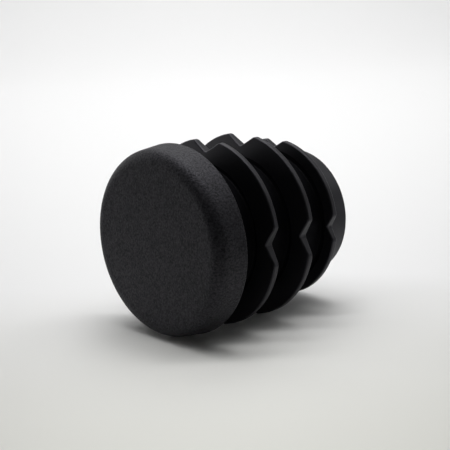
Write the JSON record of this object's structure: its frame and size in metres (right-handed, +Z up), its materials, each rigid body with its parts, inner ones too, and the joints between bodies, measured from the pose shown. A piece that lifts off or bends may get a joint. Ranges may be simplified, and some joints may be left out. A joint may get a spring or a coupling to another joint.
{
  "type": "tube end cap",
  "caption": "Push-in end cap for a round tube, with a rounded, finely grained head and a hollow spigot whose thin notched ribs grip the inside of the tube",
  "frame": {"origin": "under the middle of the cap, on the surface that it lies on", "axes": "+X along the cap's axis from the head's outer face to the open nose, +Z up, with the ribs' notches at the top, the bottom and both sides"},
  "size_m": [0.0272, 0.025, 0.025],
  "materials": {
    "black_polyethylene": "fine spark-eroded grain on the head, smooth satin on the ribs and the core"
  },
  "bodies": {
    "root": {"end_cap": "black_polyethylene"}
  },
  "joints": []
}
